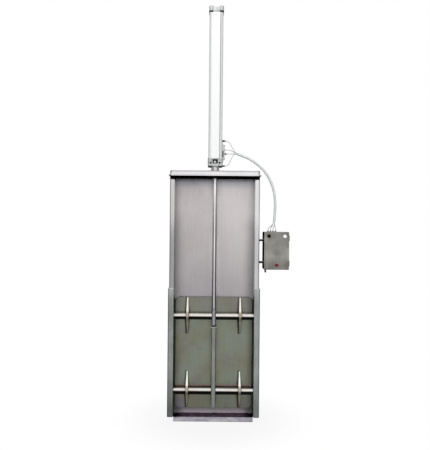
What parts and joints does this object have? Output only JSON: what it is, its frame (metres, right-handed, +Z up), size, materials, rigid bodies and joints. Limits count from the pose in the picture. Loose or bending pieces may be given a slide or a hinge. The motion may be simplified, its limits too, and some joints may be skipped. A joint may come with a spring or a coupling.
{
  "type": "pneumatic sluice gate",
  "caption": "Wall-mounted stainless sluice gate: a leaf sliding in side channels, lifted by a pneumatic cylinder on the bridge, with a control box on the right.",
  "frame": {"origin": "on the wall-side face of the back plate, on the gate's centre line, in the middle of the strip below the water opening", "axes": "+X to the right seen from the front, +Y into the wall, +Z up along the cylinder"},
  "size_m": [0.9688, 0.183, 3.335],
  "materials": {
    "frame_steel": "pickled stainless sheet",
    "plate_steel": "pickled stainless sheet",
    "leaf_steel": "dull greenish stainless plate",
    "bright_steel": "bright ground stainless",
    "stiffener_steel": "satin stainless",
    "rod_chrome": "polished",
    "rubber": "matt black",
    "cylinder_aluminium": "natural anodised",
    "neck_steel": "turned",
    "valve_metal": "die-cast, grey",
    "dark_plastic": "matt black",
    "slide_plastic": "black sliding plastic",
    "box_steel": "fine brushed stainless",
    "fitting_metal": "plated",
    "stop_plastic": "red",
    "lamp_plastic": "white, translucent",
    "sleeve_plastic": "pale corrugated sleeve",
    "line_plastic": "pale flexible tube"
  },
  "bodies": {
    "frame": {"left_upright": "frame_steel", "right_upright": "frame_steel", "left_guide_angle": "frame_steel", "right_guide_angle": "frame_steel", "sill": "frame_steel", "bridge_base": "frame_steel", "bridge_beam": "frame_steel", "back_plate": "plate_steel", "opening_seal": "rubber", "sill_cushion": "rubber", "bridge_packing": "rubber", "door_gasket": "rubber", "cylinder_barrel": "cylinder_aluminium", "cylinder_rear_cap": "cylinder_aluminium", "cylinder_front_cap": "cylinder_aluminium", "cylinder_neck": "neck_steel", "port_plug": "neck_steel", "valve_block": "valve_metal", "line_fittings": "dark_plastic", "box_glands": "dark_plastic", "control_box": "box_steel", "box_brackets": "box_steel", "box_inlet": "fitting_metal", "case_hinges": "fitting_metal", "hose_sleeve": "sleeve_plastic", "valve_line_1": "line_plastic", "valve_line_2": "line_plastic", "valve_line_3": "line_plastic", "valve_line_4": "line_plastic", "box_line_1": "line_plastic", "box_line_2": "line_plastic", "box_line_3": "line_plastic", "box_line_4": "line_plastic"},
    "gate": {"gate_leaf": "leaf_steel", "upper_axle": "bright_steel", "lower_axle": "bright_steel", "upper_lugs": "bright_steel", "lower_lugs": "bright_steel", "upper_slide_blocks": "slide_plastic", "lower_slide_blocks": "slide_plastic", "stiffener": "stiffener_steel", "rod_end": "stiffener_steel", "piston_rod": "rod_chrome"},
    "door": {"box_door": "box_steel", "door_hinges": "fitting_metal", "selector_collar": "dark_plastic", "stop_collar": "fitting_metal", "door_lamp": "lamp_plastic"},
    "selector": {"selector_knob": "dark_plastic"},
    "stop": {"stop_button": "stop_plastic"}
  },
  "joints": [
    {"name": "gate_lift", "type": "slide", "parent": "frame", "child": "gate", "axis": [0, 0, 1], "range_m": [0, 0.9]},
    {"name": "door_swing", "type": "hinge", "parent": "frame", "child": "door", "pos_m": [0.596, -0.145, 1.285], "axis": [0, 0, 1], "range_deg": [0, 110]},
    {"name": "selector_turn", "type": "hinge", "parent": "door", "child": "selector", "pos_m": [0.433, -0.166, 1.402], "axis": [0, -1, 0], "range_deg": [-45, 45]},
    {"name": "stop_press", "type": "slide", "parent": "door", "child": "stop", "axis": [0, 1, 0], "range_m": [0, 0.005], "stiffness_N_per_m": 800}
  ]
}
